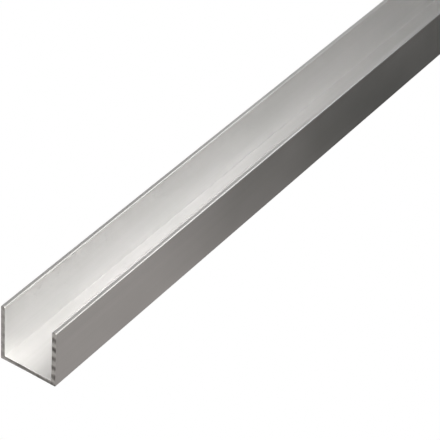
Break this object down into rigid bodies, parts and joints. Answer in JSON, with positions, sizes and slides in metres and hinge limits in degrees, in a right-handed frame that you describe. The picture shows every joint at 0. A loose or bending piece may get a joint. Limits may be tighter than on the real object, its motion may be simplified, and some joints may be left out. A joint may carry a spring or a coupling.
{
  "type": "aluminium u channel",
  "caption": "Straight bar of equal-sided aluminium U channel with thin flanges, open along its top and sawn square at both ends.",
  "frame": {"origin": "middle of the web's outer face, halfway along the length, on the surface that the bar lies on", "axes": "+Y along the length, +Z from the web towards the flange tips, X across the section"},
  "size_m": [0.02, 1, 0.02],
  "materials": {
    "mill_aluminium": "mill finish as extruded, satin, with faint lines along the length and saw marks on the ends"
  },
  "bodies": {
    "root": {"u_channel": "mill_aluminium"}
  },
  "joints": []
}
